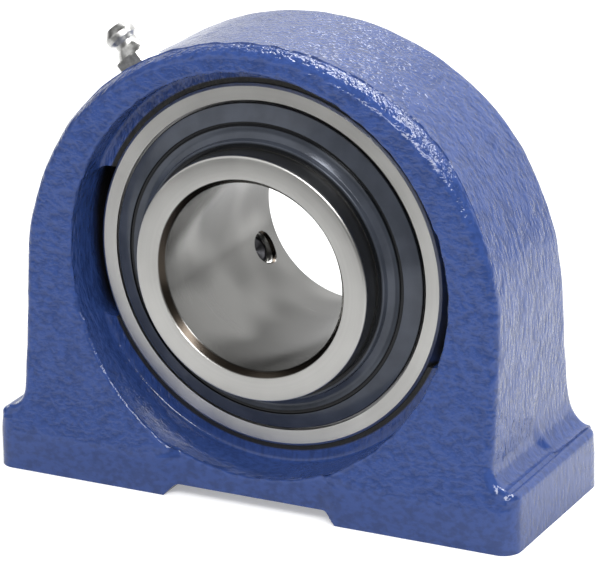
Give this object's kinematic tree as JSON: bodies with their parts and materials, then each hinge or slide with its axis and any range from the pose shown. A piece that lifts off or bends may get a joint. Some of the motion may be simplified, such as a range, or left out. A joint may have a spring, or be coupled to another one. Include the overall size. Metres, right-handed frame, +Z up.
{
  "type": "pillow block bearing",
  "caption": "Short-base pillow block with tapped feet, holding a self-aligning deep groove ball bearing insert locked to its shaft by two set screws.",
  "frame": {"origin": "on the underside of the base, midway between the two mounting holes and below the bearing centre", "axes": "+X along the base between the mounting holes, +Y along the bearing axis towards the long side of the inner ring, +Z up"},
  "size_m": [0.119, 0.0522, 0.0969],
  "materials": {
    "housing_paint": "glossy blue enamel over rough cast iron",
    "ground_steel": "ground bearing steel",
    "polished_steel": "polished bearing steel balls",
    "cage_steel": "pressed sheet steel",
    "carrier_steel": "pressed sheet steel",
    "seal_rubber": "black nitrile rubber",
    "flinger_coating": "dark coated sheet steel, satin",
    "blackened_steel": "black oxide",
    "zinc_plate": "bright zinc plate"
  },
  "bodies": {
    "housing": {"housing": "housing_paint", "nipple_body": "zinc_plate"},
    "outer_ring": {"outer_ring": "ground_steel", "seal_carrier_front": "carrier_steel", "seal_carrier_back": "carrier_steel", "seal_lip_front": "seal_rubber", "seal_lip_back": "seal_rubber"},
    "inner_ring": {"inner_ring": "ground_steel", "flinger_front": "flinger_coating", "flinger_back": "flinger_coating"},
    "cage": {"cage_front": "cage_steel", "cage_back": "cage_steel", "cage_rivets": "cage_steel"},
    "ball_1": {"ball_1": "polished_steel"},
    "ball_2": {"ball_2": "polished_steel"},
    "ball_3": {"ball_3": "polished_steel"},
    "ball_4": {"ball_4": "polished_steel"},
    "ball_5": {"ball_5": "polished_steel"},
    "ball_6": {"ball_6": "polished_steel"},
    "ball_7": {"ball_7": "polished_steel"},
    "ball_8": {"ball_8": "polished_steel"},
    "ball_9": {"ball_9": "polished_steel"},
    "set_screw_1": {"set_screw_1": "blackened_steel"},
    "set_screw_2": {"set_screw_2": "blackened_steel"},
    "nipple_ball": {"nipple_ball": "polished_steel", "nipple_spring": "zinc_plate"}
  },
  "joints": [
    {"name": "self_aligning_tilt", "type": "hinge", "parent": "housing", "child": "outer_ring", "pos_m": [0, 0, 0.0492], "axis": [1, 0, 0], "range_deg": [-2, 2]},
    {"name": "shaft_spin", "type": "hinge", "parent": "outer_ring", "child": "inner_ring", "pos_m": [0, 0, 0.0492], "axis": [0, 1, 0], "continuous": true},
    {"name": "cage_spin", "type": "hinge", "parent": "outer_ring", "child": "cage", "pos_m": [0, 0, 0.0492], "axis": [0, 1, 0], "continuous": true},
    {"name": "ball_1_roll", "type": "hinge", "parent": "cage", "child": "ball_1", "pos_m": [0, 0, 0.0792], "axis": [0, 1, 0], "continuous": true},
    {"name": "ball_2_roll", "type": "hinge", "parent": "cage", "child": "ball_2", "pos_m": [-0.01928, 0, 0.07218], "axis": [0, 1, 0], "continuous": true},
    {"name": "ball_3_roll", "type": "hinge", "parent": "cage", "child": "ball_3", "pos_m": [-0.02954, 0, 0.05441], "axis": [0, 1, 0], "continuous": true},
    {"name": "ball_4_roll", "type": "hinge", "parent": "cage", "child": "ball_4", "pos_m": [-0.02598, 0, 0.0342], "axis": [0, 1, 0], "continuous": true},
    {"name": "ball_5_roll", "type": "hinge", "parent": "cage", "child": "ball_5", "pos_m": [-0.01026, 0, 0.02101], "axis": [0, 1, 0], "continuous": true},
    {"name": "ball_6_roll", "type": "hinge", "parent": "cage", "child": "ball_6", "pos_m": [0.01026, 0, 0.02101], "axis": [0, 1, 0], "continuous": true},
    {"name": "ball_7_roll", "type": "hinge", "parent": "cage", "child": "ball_7", "pos_m": [0.02598, 0, 0.0342], "axis": [0, 1, 0], "continuous": true},
    {"name": "ball_8_roll", "type": "hinge", "parent": "cage", "child": "ball_8", "pos_m": [0.02954, 0, 0.05441], "axis": [0, 1, 0], "continuous": true},
    {"name": "ball_9_roll", "type": "hinge", "parent": "cage", "child": "ball_9", "pos_m": [0.01928, 0, 0.07218], "axis": [0, 1, 0], "continuous": true},
    {"name": "set_screw_1_travel", "type": "slide", "parent": "inner_ring", "child": "set_screw_1", "axis": [-0.061, 0, -0.9981], "range_m": [-0.002, 0.0023]},
    {"name": "set_screw_2_travel", "type": "slide", "parent": "inner_ring", "child": "set_screw_2", "axis": [0.8949, 0, 0.4462], "range_m": [-0.002, 0.0023]},
    {"name": "nipple_ball_travel", "type": "slide", "parent": "housing", "child": "nipple_ball", "axis": [0.6561, 0, -0.7547], "range_m": [0, 0.0006], "stiffness_N_per_m": 300, "springref_m": -0.0005, "deforming": ["nipple_spring"]}
  ],
  "couplings": [
    {"joint": "cage_spin", "follows": "shaft_spin", "ratio": 0.4},
    {"joint": "ball_1_roll", "follows": "shaft_spin", "ratio": -2.4},
    {"joint": "ball_2_roll", "follows": "shaft_spin", "ratio": -2.4},
    {"joint": "ball_3_roll", "follows": "shaft_spin", "ratio": -2.4},
    {"joint": "ball_4_roll", "follows": "shaft_spin", "ratio": -2.4},
    {"joint": "ball_5_roll", "follows": "shaft_spin", "ratio": -2.4},
    {"joint": "ball_6_roll", "follows": "shaft_spin", "ratio": -2.4},
    {"joint": "ball_7_roll", "follows": "shaft_spin", "ratio": -2.4},
    {"joint": "ball_8_roll", "follows": "shaft_spin", "ratio": -2.4},
    {"joint": "ball_9_roll", "follows": "shaft_spin", "ratio": -2.4}
  ]
}
